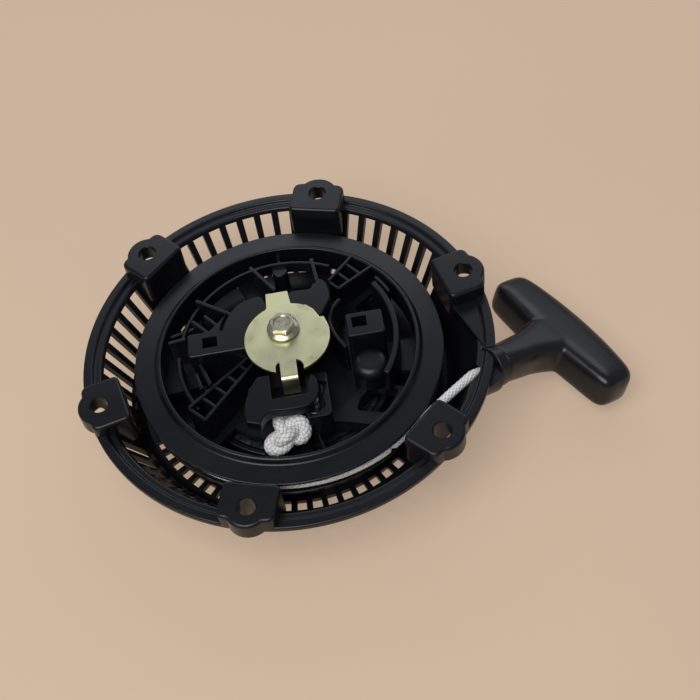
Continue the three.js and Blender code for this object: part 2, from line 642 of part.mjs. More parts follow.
const handleGroup = new THREE.Group();
handleGroup.position.copy(OUTLET);
handleGroup.rotation.y = rad(OUTLET_SLOPE);
const washerTop = HANDLE_POCKET + 2;
handleGroup.add(
  mesh("handle_grip", handleGrip(), BLACK),
  mesh("handle_washer", place(ring(ROPE_R + 0.6, 6.5, HANDLE_POCKET + GAP, washerTop, 24), { tilt: 90 }), STEEL),
  mesh("handle_knot", place(knot(5.5, 8).translate([0, 0, washerTop + 5]), { tilt: 90 }), ROPE),
);
starter.add(handleGroup);

export default starter;
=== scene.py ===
"""Looks of the recoil starter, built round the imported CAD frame."""
import math

import bmesh
import bpy
import numpy as np
from mathutils import Matrix, Vector


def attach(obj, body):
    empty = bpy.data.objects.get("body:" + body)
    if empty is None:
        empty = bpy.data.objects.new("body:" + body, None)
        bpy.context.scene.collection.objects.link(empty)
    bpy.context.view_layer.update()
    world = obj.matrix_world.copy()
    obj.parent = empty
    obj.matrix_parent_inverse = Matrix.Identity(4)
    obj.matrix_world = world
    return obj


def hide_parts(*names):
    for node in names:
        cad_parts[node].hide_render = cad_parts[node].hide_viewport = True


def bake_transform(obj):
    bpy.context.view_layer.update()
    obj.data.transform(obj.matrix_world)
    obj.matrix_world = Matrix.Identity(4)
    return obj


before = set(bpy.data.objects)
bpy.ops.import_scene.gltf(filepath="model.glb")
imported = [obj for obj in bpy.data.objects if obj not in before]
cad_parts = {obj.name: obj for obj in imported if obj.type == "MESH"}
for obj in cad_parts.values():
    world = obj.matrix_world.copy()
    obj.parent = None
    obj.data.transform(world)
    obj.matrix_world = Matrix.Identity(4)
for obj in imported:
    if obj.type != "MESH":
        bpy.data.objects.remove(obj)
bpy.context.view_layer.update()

# ------------------------------------------------------------------ sizes, in millimetres and degrees
MM = 0.001
GAP = 0.3
WELD = 1e-4

# Mounting lugs round the rim
LUG_TOP = 47.0
LUG_COUNT = 6
LUG_PITCH = 360 / LUG_COUNT
LUG_FIRST = 45
LUG_R = 94.0
LUG_HOLE_R = 4.25
LUG_RELIEF = 1.9
LUG_WIDTH = 27.0
LUG_INNER_R = 81.5
LUG_NOSE_R = 10.5
LUG_DEPTH = 6.8

# Housing: a raised disc, a flat vent floor, a conical wall and a rim
WALL = 2.5
RIM_R = 100.8
RIM_TOP = 39.7
RIM_THICK = 3.3
RIM_STEP = 1.5
CONE_TOP_R = 92.4
CONE_FOOT_R = 79.2
VENT_FLOOR = 10.0
CONE_FOOT_Z = VENT_FLOOR + 1.2
DISC_R = 49.5
CHAMBER_FLOOR = 3.0
POST_R = 8.0
POST_FOOT_R = POST_R + 4
POST_TOP = 50.1
INSERT_BORE_R = 6.1
INSERT_BORE_FOOT = 28

# Vents: wall slots and floor windows, in every sector between lugs but the outlet's
OUTLET_SECTOR = 4
SLOT_PITCH = 6
SLOT_OPEN = 3.8
SLOTS_PER_SECTOR = 7
SLOT_LOW = 13.5
WINDOW_PITCH = 5.75
WINDOW_OPEN = 3.5
WINDOWS_PER_SECTOR = 9
WINDOW_INNER_R = 70.5
WINDOW_OUTER_R = 75.4

# Reel: a drum with a rope groove between two flanges, a web inside it and a hub
DRUM_R = 65.0
DRUM_INNER_R = 62.5
WEB_R = DRUM_INNER_R + 0.6
GROOVE_LOW = 26.0
GROOVE_HIGH = 33.5
FLANGE_LOW_R = 75.0
FLANGE_HIGH_R = 76.2
REEL_REST = -28.6
HUB_R = 15.0
HUB_TOP = 49.5
WEB_LOW = 21.0
WEB_HIGH = 24.0
RIB_LOW = WEB_LOW + 1
ARM_DROP = 9.0

# Rope and its outlet
ROPE_R = 2.3
ROPE_Z = 30.0
ROPE_TURN_R = 74.0
ROPE_TURNS = 2.3
ROPE_LEAVES = -85
OUTLET = Vector((70, -69.5, 31))
OUTLET_SLOPE = 20
OUTLET_BORE_R = ROPE_R + 2.2
COLLAR_R = 10.3
COLLAR_ROOT = -2.0
COLLAR_LENGTH = 4.0

# Handle
HANDLE_SEAT = COLLAR_LENGTH + GAP
HANDLE_HALF = 43.0
HANDLE_HALF_THICK = 9.8
HANDLE_MIDDLE = 42.5
STEM_HALF = 9.0
STEM_LENGTH = 44.0
STEM_FLARES = 17.0
HANDLE_POCKET = HANDLE_SEAT + 39.5
HANDLE_POCKET_R = 7.0

# Guide plate, pawl, knot and centre bolt
PLATE_Z = 50.4
PLATE_THICK = 1.6
PLATE_R = 20.6
PLATE_CENTRE = (1.2, -5.0)
PLATE_BEVEL = 0.22
LEG_DROP = 12.0
LEG_OUT = -29.6
PAWL_TOP = 49.5
PAWL_THICK = 6.0
PAWL_PIVOT = (9.6, -40.2)
PAWL_PIN_BORE_R = 2.3
PAWL_COIL_R = 3.8
PAWL_ROOM = PAWL_TOP - 9.3
PAWL_SPRING_END = (PAWL_PIVOT[0] + 4, PAWL_PIVOT[1] + 12)
KNOT_CENTRE = (-5.0, -47.0)
KNOT_R = 10.0
BOLT_R = 4.0
BOLT_FLANGE_R = 8.0
BOLT_HEX_R = 6.5
BOLT_TURN = 12

# Camera, which turns with the reel's rest angle
CAMERA_ELEVATION = 53.26
CAMERA_ROLL = -9.61
CAMERA_TURN = REEL_REST
CAMERA_DISTANCE = 597.3
CAMERA_AIM = (29.81, -15.11, 0)
CAMERA_LENS = 64.66
CAMERA_SENSOR = 36


# ------------------------------------------------------------------ outlines
def polar(radius, degrees):
    angle = math.radians(degrees)
    return (radius * math.cos(angle), radius * math.sin(angle))


def arc(centre, radius, start, end, count=12):
    """Points on a round stretch of an outline, both ends included."""
    angles = [start + (end - start) * i / count for i in range(count + 1)]
    return [(centre[0] + polar(radius, a)[0], centre[1] + polar(radius, a)[1]) for a in angles]


def bend(first, control, last, count=8):
    """Points on a quadratic curve, without its first point."""
    def at(t):
        return tuple(
            (1 - t) ** 2 * a + 2 * t * (1 - t) * b + t * t * c
            for a, b, c in zip(first, control, last)
        )
    return [at((i + 1) / count) for i in range(count)]


def mirrored(outline):
    """The outline of a shape that is the same on both sides of the X axis, from its lower half."""
    return outline + [(x, -y) for x, y in reversed(outline)]


# ------------------------------------------------------------------ solids, in millimetres
def new_object(name, vertices, faces):
    mesh = bpy.data.meshes.new(name)
    mesh.from_pydata(vertices, [], faces)
    mesh.update()
    made = bpy.data.objects.new(name, mesh)
    bpy.context.scene.collection.objects.link(made)
    return made


def facing_out(obj):
    """Welds a closed mesh and turns its faces outwards."""
    shape = bmesh.new()
    shape.from_mesh(obj.data)
    bmesh.ops.remove_doubles(shape, verts=shape.verts, dist=WELD)
    bmesh.ops.recalc_face_normals(shape, faces=shape.faces)
    if shape.calc_volume(signed=True) < 0:
        bmesh.ops.reverse_faces(shape, faces=shape.faces)
    shape.to_mesh(obj.data)
    shape.free()
    return obj


def rounded(outline, radius, count=4):
    """Rounds the corners of a closed outline, apart from those on the axis x = 0."""
    result = []
    for i in range(len(outline)):
        here, before, after = (Vector(outline[j % len(outline)]) for j in (i, i - 1, i + 1))
        if here.x == 0:
            result.append(tuple(here))
            continue
        reach = min(radius, (before - here).length * 0.45, (after - here).length * 0.45)
        start = here + (before - here).normalized() * reach
        end = here + (after - here).normalized() * reach
        result += [tuple(start), *bend(start, here, end, count)]
    return result


def drawn_out(first, last):
    """A solid between two outlines in space that have the same number of points."""
    count = len(first)
    walls = [(i, (i + 1) % count, (i + 1) % count + count, i + count) for i in range(count)]
    faces = [tuple(range(count)), tuple(range(count, 2 * count)), *walls]
    return facing_out(new_object("solid", first + last, faces))


def prism(outline, low, high):
    return drawn_out([(x, y, low) for x, y in outline], [(x, y, high) for x, y in outline])


def turned(outline, segments):
    """A solid of revolution about Z from a closed outline of (radius, height) points."""
    rings = len(outline)
    vertices = []
    for i in range(segments):
        angle = 2 * math.pi * i / segments
        vertices += [(r * math.cos(angle), r * math.sin(angle), z) for r, z in outline]
    faces = []
    for i in range(segments):
        here, there = i * rings, ((i + 1) % segments) * rings
        for j in range(rings):
            k = (j + 1) % rings
            faces.append((here + j, there + j, there + k, here + k))
    made = new_object("solid", vertices, faces)
    shape = bmesh.new()
    shape.from_mesh(made.data)
    bmesh.ops.remove_doubles(shape, verts=shape.verts, dist=WELD)
    bmesh.ops.dissolve_degenerate(shape, edges=shape.edges, dist=WELD)
    shape.to_mesh(made.data)
    shape.free()
    return facing_out(made)


def cylinder(radius, low, high, segments=64, x=0, y=0):
    return prism(arc((x, y), radius, 0, 360, segments)[:-1], low, high)


def block(x0, x1, y0, y1, low, high):
    return prism([(x0, y0), (x1, y0), (x1, y1), (x0, y1)], low, high)


def rib(first, last, thick, low, high):
    """An upright wall between two points of the plan."""
    along = Vector(last) - Vector(first)
    side = Vector((-along.y, along.x)).normalized() * thick / 2
    corners = [Vector(first) - side, Vector(last) - side, Vector(last) + side, Vector(first) + side]
    return prism([tuple(c) for c in corners], low, high)


def sector(inner, outer, start, end, low, high, count=16):
    """Part of a ring, between two radii and two angles."""
    outline = arc((0, 0), outer, start, end, count) + arc((0, 0), inner, end, start, count)
    return prism(outline, low, high)


def placed(obj, x=0, y=0, z=0, turn=0, tilt=0):
    """Tilts a piece about Y, turns it about Z and then moves it."""
    turned_by = Matrix.Rotation(math.radians(turn), 4, "Z") @ Matrix.Rotation(math.radians(tilt), 4, "Y")
    obj.data.transform(Matrix.Translation((x, y, z)) @ turned_by)
    return obj


def at_outlet(obj):
    """Moves a piece drawn along +Z onto the axis of the rope outlet."""
    return placed(obj, *OUTLET, tilt=90 + OUTLET_SLOPE)


def baked(obj):
    """Applies the object's modifiers to its mesh."""
    bpy.context.view_layer.update()
    graph = bpy.context.evaluated_depsgraph_get()
    mesh = bpy.data.meshes.new_from_object(obj.evaluated_get(graph))
    old = obj.data
    obj.modifiers.clear()
    obj.data = mesh
    bpy.data.meshes.remove(old)
    return obj


def merged(objects):
    """One object that holds all the meshes, which may overlap."""
    shape = bmesh.new()
    for obj in objects:
        shape.from_mesh(obj.data)
    made = new_object("solid", [], [])
    shape.to_mesh(made.data)
    shape.free()
    for obj in objects:
        bpy.data.objects.remove(obj)
    return made


def boolean(base, tool, operation):
    """Joins, cuts or meets the base with a tool, which is used up."""
    modifier = base.modifiers.new("boolean", "BOOLEAN")
    modifier.operation = operation
    modifier.solver = "MANIFOLD"
    modifier.object = tool
    baked(base)
    bpy.data.objects.remove(tool)
    return base


def joined(solids):
    """One solid from solids that overlap."""
    whole = solids[0]
    for piece in solids[1:]:
        boolean(whole, piece, "UNION")
    return whole


def cut(base, *tools):
    for tool in tools:
        boolean(base, tool, "DIFFERENCE")
    return base


def bevelled(obj, width, segments=2, angle=40):
    modifier = obj.modifiers.new("bevel", "BEVEL")
    modifier.width = width
    modifier.segments = segments
    modifier.limit_method = "ANGLE"
    modifier.angle_limit = math.radians(angle)
    modifier.use_clamp_overlap = False
    modifier.miter_outer = "MITER_ARC"
    return baked(obj)


def remeshed(obj, voxel, rounds):
    """One smooth skin round all the solids in the object."""
    modifier = obj.modifiers.new("skin", "REMESH")
    modifier.mode = "VOXEL"
    modifier.voxel_size = voxel
    baked(obj)
    smooth = obj.modifiers.new("smooth", "SMOOTH")
    smooth.iterations = rounds
    smooth.factor = 0.5
    return baked(obj)


def finished(obj, name, body, material, nodes, smooth=38):
    """Names a piece, brings it to metres, shades it and rides it on its body in place of its CAD nodes."""
    obj.name = name
    obj.data.name = name
    obj.data.transform(Matrix.Scale(MM, 4))
    obj.data.shade_smooth()
    obj.data.set_sharp_from_angle(angle=math.radians(smooth))
    weighted = obj.modifiers.new("normals", "WEIGHTED_NORMAL")
    weighted.keep_sharp = True
    baked(obj)
    obj.data.materials.clear()
    obj.data.materials.append(material)
    if body:
        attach(obj, body)
    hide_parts(*nodes)
    return obj


def in_reel_frame(obj):
    """Turns a piece drawn square to the reel's arms to the angle at which the reel rests."""
    return placed(obj, turn=REEL_REST)


# ------------------------------------------------------------------ materials
class Nodes:
    """Short calls for building one material's node tree."""

    def __init__(self, name):
        self.material = bpy.data.materials.new(name)
        self.material.use_nodes = True
        self.tree = self.material.node_tree
        self.shader = self.tree.nodes["Principled BSDF"]
        self.place = self.node("ShaderNodeTexCoord").outputs["Object"]

    def node(self, kind, **values):
        made = self.tree.nodes.new(kind)
        for key, value in values.items():
            setattr(made, key, value)
        return made

    def link(self, source, target):
        self.tree.links.new(source, target)

    def noise(self, scale, detail=4, stretch=(1, 1, 1), distortion=0):
        mapping = self.node("ShaderNodeMapping")
        mapping.inputs["Scale"].default_value = stretch
        self.link(self.place, mapping.inputs["Vector"])
        texture = self.node("ShaderNodeTexNoise")
        texture.inputs["Scale"].default_value = scale
        texture.inputs["Detail"].default_value = detail
        texture.inputs["Distortion"].default_value = distortion
        self.link(mapping.outputs["Vector"], texture.inputs["Vector"])
        return texture.outputs["Fac"]

    def ramp(self, source, *stops):
        made = self.node("ShaderNodeValToRGB")
        elements = made.color_ramp.elements
        while len(elements) < len(stops):
            elements.new(0.5)
        for element, (position, value) in zip(elements, stops):
            element.position = position
            element.color = (*value, 1) if isinstance(value, tuple) else (value, value, value, 1)
        self.link(source, made.inputs["Fac"])
        return made.outputs["Color"]

    def mix(self, factor, first, second):
        made = self.node("ShaderNodeMix", data_type="RGBA")
        self.link(factor, made.inputs["Factor"])
        for socket, value in ((made.inputs[6], first), (made.inputs[7], second)):
            if isinstance(value, tuple):
                socket.default_value = (*value, 1)
            else:
                self.link(value, socket)
        return made.outputs[2]

    def maths(self, operation, first, second):
        made = self.node("ShaderNodeMath", operation=operation)
        for socket, value in zip(made.inputs, (first, second)):
            if isinstance(value, (int, float)):
                socket.default_value = value
            else:
                self.link(value, socket)
        return made.outputs[0]

    def facing_up(self):
        geometry = self.node("ShaderNodeNewGeometry")
        split = self.node("ShaderNodeSeparateXYZ")
        self.link(geometry.outputs["Normal"], split.inputs[0])
        return split.outputs["Z"]

    def bump(self, *layers):
        """Chains bumps of (height source, strength, distance in metres)."""
        last = None
        for source, strength, distance in layers:
            made = self.node("ShaderNodeBump")
            made.inputs["Strength"].default_value = strength
            made.inputs["Distance"].default_value = distance
            self.link(source, made.inputs["Height"])
            if last is not None:
                self.link(last, made.inputs["Normal"])
            last = made.outputs["Normal"]
        self.link(last, self.shader.inputs["Normal"])

    def set(self, **values):
        for key, value in values.items():
            socket = self.shader.inputs[key.replace("_", " ")]
            if isinstance(value, (int, float, tuple)):
                socket.default_value = (*value, 1) if isinstance(value, tuple) else value
            else:
                self.link(value, socket)


def moulded_plastic(name, colour, dust_colour, roughness, dust_amount, grain, specular):
    """Black moulded plastic: a fine grain, flow marks, faint dust on faces that look up, and rubs."""
    n = Nodes(name)
    patches = n.ramp(n.noise(34, 6, distortion=0.4), (0.42, 0.0), (0.72, 1.0))
    up = n.ramp(n.facing_up(), (0.3, 0.0), (0.95, 1.0))
    specks = n.ramp(n.noise(900, 2), (0.55, 0.25), (0.75, 1.0))
    settled = n.maths("MULTIPLY", patches, up)
    dust = n.maths("MULTIPLY", settled, n.maths("MULTIPLY", specks, dust_amount))
    flow = n.ramp(n.noise(12, 3, stretch=(1, 3, 1)), (0.35, 0.85), (0.7, 1.15))
    base = n.mix(dust, colour, dust_colour)
    rubs = n.ramp(n.noise(260, 3, stretch=(1, 9, 1), distortion=0.3), (0.62, 0.0), (0.7, 1.0))
    rough = n.maths("MULTIPLY", flow, roughness)
    rough = n.maths("ADD", rough, n.maths("MULTIPLY", dust, 0.35))
    rough = n.maths("ADD", rough, n.maths("MULTIPLY", rubs, 0.06))
    n.set(Base_Color=base, Roughness=rough, Specular_IOR_Level=specular)
    n.bump((n.noise(2600, 2), grain, 0.00004), (n.noise(60, 3), 0.05, 0.0004))
    return n.material


def braided_rope(name):
    """White nylon braid: soft translucent fibres, with painted shade that greys the hollows between the
    strands.
    """
    n = Nodes(name)
    braid_hollow_shade = n.node("ShaderNodeAttribute", attribute_name="braid_hollow_shade").outputs["Fac"]
    soil = n.ramp(n.noise(90, 5), (0.35, (0.80, 0.80, 0.78)), (0.62, (0.93, 0.93, 0.92)))
    fibres = n.noise(2400, 3, stretch=(1, 1, 4))
    strand = n.mix(n.ramp(fibres, (0.3, 0.0), (0.7, 0.4)), soil, (0.95, 0.95, 0.95))
    # Painted shade: where the braid height is low, in the hollows between the strands, the colour is mixed
    # to grey.
    n.set(Base_Color=n.mix(n.ramp(braid_hollow_shade, (0.15, 0.0), (0.7, 1.0)), (0.40, 0.40, 0.40), strand))
    n.set(Roughness=0.5, Sheen_Weight=0.3, Subsurface_Weight=0.1, Subsurface_Scale=0.0008)
    n.bump((fibres, 0.35, 0.00012), (n.noise(700, 2), 0.25, 0.0002))
    return n.material


def zinc_plate(name):
    """Yellow chromate over zinc: pale gold that drifts towards green, with rolling marks."""
    n = Nodes(name)
    drift = n.noise(42, 3, distortion=0.8)
    gold, pale, green = (0.86, 0.81, 0.46), (0.88, 0.86, 0.52), (0.78, 0.83, 0.50)
    tint = n.ramp(drift, (0.3, gold), (0.5, pale), (0.68, green))
    rolling = n.noise(500, 3, stretch=(1, 14, 1))
    stains = n.ramp(n.noise(160, 4), (0.6, 0.0), (0.78, 0.5))
    n.set(Base_Color=n.mix(stains, tint, (0.52, 0.45, 0.27)), Metallic=1.0)
    n.set(Roughness=n.ramp(n.noise(90, 4), (0.3, 0.26), (0.7, 0.42)))
    n.bump((rolling, 0.12, 0.00006), (n.noise(35, 2), 0.08, 0.0006))
    return n.material


def bare_metal(name, colour, dark, roughness):
    """Bright or blued steel with fine turning marks and small dark stains."""
    n = Nodes(name)
    stains = n.ramp(n.noise(300, 4), (0.5, 0.0), (0.75, 0.6))
    n.set(Base_Color=n.mix(stains, colour, dark), Metallic=1.0)
    n.set(Roughness=n.ramp(n.noise(420, 3), (0.3, roughness * 0.8), (0.75, roughness * 1.4)))
    n.bump((n.noise(1800, 2, stretch=(1, 1, 6)), 0.12, 0.00005))
    return n.material


def floor_paper(name):
    """A pale, evenly lit backdrop that takes only a faint shadow."""
    n = Nodes(name)
    tone = n.ramp(n.noise(5, 2), (0.3, (0.352, 0.268, 0.197)), (0.7, (0.366, 0.279, 0.205)))
    n.set(Base_Color=tone, Roughness=0.9, Specular_IOR_Level=0.0)
    n.set(Emission_Color=(0.63, 0.477, 0.347), Emission_Strength=0.54)
    n.bump((n.noise(1500, 3), 0.04, 0.0001))
    return n.material


SOOT = (0.0055, 0.006, 0.0085)
BLACK = moulded_plastic(
    "moulded_black", SOOT, (0.030, 0.031, 0.035),
    roughness=0.30, dust_amount=0.18, grain=0.10, specular=0.37,
)
DARK = moulded_plastic(
    "pawl_black", SOOT, (0.025, 0.026, 0.030),
    roughness=0.36, dust_amount=0.15, grain=0.10, specular=0.24,
)
GLOSS = moulded_plastic(
    "gloss_black", (0.007, 0.007, 0.009), (0.03, 0.03, 0.032),
    roughness=0.29, dust_amount=0.12, grain=0.06, specular=0.5,
)
ROPE = braided_rope("rope")
ZINC = zinc_plate("zinc_plate")
STEEL = bare_metal("bright_steel", (0.80, 0.79, 0.72), (0.30, 0.28, 0.22), 0.26)
BOLT = bare_metal("zinc_bolt", (0.60, 0.57, 0.44), (0.36, 0.33, 0.24), 0.28)
SPRING = bare_metal("spring_steel", (0.27, 0.30, 0.35), (0.10, 0.10, 0.11), 0.30)


# ------------------------------------------------------------------ rope
BRAID_PITCH = 15.0
BRAID_STRANDS = 6
BRAID_RELIEF = 0.45


def smooth_path(points, step):
    """A centripetal Catmull-Rom curve through the points, sampled about every step."""
    points = [np.array(p, float) for p in points]
    points = [2 * points[0] - points[1], *points, 2 * points[-1] - points[-2]]
    samples = []
    for p0, p1, p2, p3 in zip(points, points[1:], points[2:], points[3:]):
        spans = [np.linalg.norm(b - a) ** 0.5 for a, b in ((p0, p1), (p1, p2), (p2, p3))]
        knots = np.cumsum([0, *spans])
        count = max(1, int(round(np.linalg.norm(p2 - p1) / step)))
        for t in np.linspace(knots[1], knots[2], count, endpoint=False):
            def blend(a, b, i, j):
                return ((knots[j] - t) * a + (t - knots[i]) * b) / (knots[j] - knots[i])
            a1, a2, a3 = blend(p0, p1, 0, 1), blend(p1, p2, 1, 2), blend(p2, p3, 2, 3)
            b1, b2 = blend(a1, a2, 0, 2), blend(a2, a3, 1, 3)
            samples.append(blend(b1, b2, 1, 2))
    return np.array([*samples, points[-2]])


def braid_height(theta, along):
    """Height from 0 to 1 of a braid in which two sets of strands pass over and under each other."""
    right = BRAID_STRANDS * (theta / (2 * math.pi) + along / BRAID_PITCH)
    left = BRAID_STRANDS * (theta / (2 * math.pi) - along / BRAID_PITCH)
    over = (np.floor(right) + np.floor(left)) % 2 == 0
    right_ridge = np.sin(math.pi * (right % 1))
    left_ridge = np.sin(math.pi * (left % 1))
    return np.where(over, right_ridge, left_ridge) * 0.85 + np.minimum(right_ridge, left_ridge) * 0.15


def rope_mesh(name, path, radius=ROPE_R, sides=48, closed=False):
    """A braided rope along a dense path, with rounded ends where it isn't closed."""
    tangents = np.gradient(path, axis=0)
    if closed:
        tangents = np.roll(path, -1, axis=0) - np.roll(path, 1, axis=0)
    tangents /= np.linalg.norm(tangents, axis=1)[:, None]
    lengths = np.concatenate([[0], np.cumsum(np.linalg.norm(np.diff(path, axis=0), axis=1))])
    normal = np.cross(tangents[0], [0.0, 0.0, 1.0])
    if np.linalg.norm(normal) < 0.1:
        normal = np.cross(tangents[0], [0.0, 1.0, 0.0])
    theta = np.linspace(0, 2 * math.pi, sides, endpoint=False)
    rows, heights = [], []
    for i, (centre, tangent) in enumerate(zip(path, tangents)):
        normal = normal - tangent * np.dot(normal, tangent)
        normal /= np.linalg.norm(normal)
        binormal = np.cross(tangent, normal)
        heights.append(braid_height(theta, lengths[i]))
        reach = radius - BRAID_RELIEF * (1 - heights[-1])
        if not closed:
            end = min(lengths[i], lengths[-1] - lengths[i])
            reach = reach * math.sqrt(min(1.0, 0.15 + end / radius))
        outward = np.cos(theta)[:, None] * normal + np.sin(theta)[:, None] * binormal
        rows.append(centre + reach[:, None] * outward)
    vertices = [tuple(v) for v in np.concatenate(rows)]
    faces = []
    count = len(path)
    for i in range(count if closed else count - 1):
        here, there = i * sides, ((i + 1) % count) * sides
        for j in range(sides):
            k = (j + 1) % sides
            faces.append((here + j, here + k, there + k, there + j))
    if not closed:
        faces += [tuple(range(sides)), tuple(reversed(range((count - 1) * sides, count * sides)))]
    faces = [tuple(reversed(face)) for face in faces]
    made = new_object(name, vertices, faces)
    # The braid height is kept on the points for the painted shade in the rope's hollows.
    braid_hollow_shade = made.data.attributes.new("braid_hollow_shade", "FLOAT", "POINT")
    braid_hollow_shade.data.foreach_set("value", np.concatenate(heights).astype(np.float32))
    return made


def trefoil(centre, reach, height, step, turn=0, tilt=0):
    """The path of a tight three-lobed knot."""
    t = np.linspace(0, 2 * math.pi, int(2 * math.pi * reach * 2.6 / step), endpoint=False)
    x = (np.sin(t) + 2 * np.sin(2 * t)) / 3 * reach
    y = (np.cos(t) - 2 * np.cos(2 * t)) / 3 * reach
    z = -np.sin(3 * t) * height
    matrix = Matrix.Rotation(math.radians(turn), 3, "Z") @ Matrix.Rotation(math.radians(tilt), 3, "X")
    return np.array([tuple(matrix @ Vector(p) + Vector(centre)) for p in zip(x, y, z)])


# ------------------------------------------------------------------ housing
ROUND = 240


def lug_angle(i):
    return LUG_FIRST + i * LUG_PITCH


def housing_shell():
    """The disc, the vent floor, the conical wall and the rim in one turned skin, with the centre post."""
    cone_slope = math.atan2(CONE_TOP_R - CONE_FOOT_R, RIM_TOP - VENT_FLOOR)
    cone_run = (WALL - 0.1) / math.cos(cone_slope)
    rim_low = RIM_TOP - RIM_THICK
    profile = [
        (0, 0), (DISC_R - 3, 0), (DISC_R, VENT_FLOOR - WALL), (CONE_FOOT_R - 1, VENT_FLOOR - WALL),
        (CONE_FOOT_R + cone_run, CONE_FOOT_Z), (CONE_TOP_R + cone_run - 0.6, rim_low),
        (RIM_R, rim_low), (RIM_R, RIM_TOP), (RIM_R - 4.5, RIM_TOP), (RIM_R - 5.2, RIM_TOP - RIM_STEP),
        (CONE_TOP_R, RIM_TOP - RIM_STEP), (CONE_FOOT_R, CONE_FOOT_Z), (CONE_FOOT_R - 1.9, VENT_FLOOR),
        (DISC_R + 1, VENT_FLOOR), (DISC_R + 1, VENT_FLOOR + 8), (DISC_R - 2, VENT_FLOOR + 8),
        (DISC_R - 4.5, CHAMBER_FLOOR), (0, CHAMBER_FLOOR),
    ]
    shell = turned(rounded(profile, 0.9), ROUND)
    step = cylinder(POST_FOOT_R, 1, CHAMBER_FLOOR + 1.7)
    return joined([shell, step, cylinder(POST_R, 1, POST_TOP)])


def spread(centre, count, pitch):
    """The angles of a row of openings about a centre."""
    return [centre + (i - (count - 1) / 2) * pitch for i in range(count)]


def vent_openings():
    """In every sector but the outlet's: square windows in the floor, tall slots in the conical wall."""
    slot_top = RIM_TOP - RIM_THICK - 0.3
    wall = turned([
        (CONE_FOOT_R - 5, SLOT_LOW), (CONE_FOOT_R + 12, SLOT_LOW),
        (CONE_TOP_R + 6, slot_top), (CONE_TOP_R - 6, slot_top),
    ], ROUND)
    slots, windows = [], []
    for lug in range(LUG_COUNT):
        if lug == OUTLET_SECTOR:
            continue
        centre = lug_angle(lug) + LUG_PITCH / 2
        for at in spread(centre, SLOTS_PER_SECTOR, SLOT_PITCH):
            start, end = at - SLOT_OPEN / 2, at + SLOT_OPEN / 2
            slots.append(sector(DISC_R, RIM_R + 4, start, end, 0, RIM_TOP, 3))
        for at in spread(centre, WINDOWS_PER_SECTOR, WINDOW_PITCH):
            start, end = at - WINDOW_OPEN / 2, at + WINDOW_OPEN / 2
            low, high = VENT_FLOOR - WALL - 1, VENT_FLOOR + 0.8
            windows.append(sector(WINDOW_INNER_R, WINDOW_OUTER_R, start, end, low, high, 3))
    return boolean(wall, merged(slots), "INTERSECT"), merged(windows)


def lug_piece(angle):
    """One mounting lug: a pad with a round nose, on a foot that leans in with the conical wall."""
    half = LUG_WIDTH / 2
    edge = [(LUG_INNER_R, 3 - half)]
    edge += bend(edge[-1], (LUG_INNER_R, -half), (LUG_INNER_R + 3, -half), 5)
    edge.append((LUG_R + 2, -half))
    edge += bend(edge[-1], (LUG_R + 6.4, -half), (LUG_R + 6.6, -LUG_NOSE_R + 1.2), 6)
    outline = edge + arc((LUG_R, 0), LUG_NOSE_R, -50, 0, 8)
    pad = bevelled(prism(mirrored(outline), RIM_TOP - RIM_THICK, LUG_TOP), 1.6, 4, 50)
    footprint = [(LUG_INNER_R, -half), (LUG_R + 1, -half), (LUG_R + 1, half), (LUG_INNER_R, half)]
    foot = prism(rounded(footprint, 3), RIM_TOP - 11, RIM_TOP + 2)
    cone = turned([(0, RIM_TOP - 12), (CONE_TOP_R - 3.5, RIM_TOP - 12), (CONE_TOP_R + 2.4, RIM_TOP + 2),
                   (0, RIM_TOP + 2)], ROUND)
    return placed(joined([pad, boolean(foot, cone, "INTERSECT")]), turn=angle)


def outlet_stiffeners():
    """A flat gusset and an upright wall, both inside the rim beside the outlet."""
    corners = [polar(RIM_R - 4, -17), polar(RIM_R - 4, -42), polar(LUG_INNER_R + 1, -22)]
    gusset = prism(corners, 34, RIM_TOP - 0.8)
    wall = rib((60, -79), (72, -64), 2, VENT_FLOOR, RIM_TOP - 3)
    inside = turned([(0, VENT_FLOOR), (CONE_FOOT_R + 1, VENT_FLOOR), (CONE_TOP_R + 1, RIM_TOP - 2),
                     (0, RIM_TOP - 2)], ROUND)
    return [bevelled(gusset, 0.6), boolean(bevelled(wall, 0.5), inside, "INTERSECT")]


def outlet_boss():
    """The root of the outlet, kept out of the room inside the conical wall and out of the rim's top."""
    room = turned([(0, VENT_FLOOR), (CONE_FOOT_R, CONE_FOOT_Z), (CONE_TOP_R, RIM_TOP - RIM_STEP),
                   (0, RIM_TOP - RIM_STEP)], ROUND)
    beyond = RIM_R + 20
    above = block(0, beyond, -beyond, 0, RIM_TOP - RIM_THICK, LUG_TOP + 20)
    return cut(at_outlet(cylinder(COLLAR_R + 1.5, -16, COLLAR_ROOT)), room, above)


def lug_hole(x, y):
    """The tools that make one bolt hole: a bore, a relief from below and a chamfer at the pad."""
    bore = cylinder(LUG_HOLE_R, VENT_FLOOR, LUG_TOP + 1, 40, x, y)
    relief = cylinder(LUG_HOLE_R + LUG_RELIEF, VENT_FLOOR, LUG_TOP - LUG_DEPTH, 40, x, y)
    chamfer = turned([(0, LUG_TOP - 0.7), (LUG_HOLE_R - 0.2, LUG_TOP - 0.7),
                      (LUG_HOLE_R + 0.8, LUG_TOP + 0.4), (0, LUG_TOP + 0.4)], 40)
    return [bore, relief, placed(chamfer, x, y)]


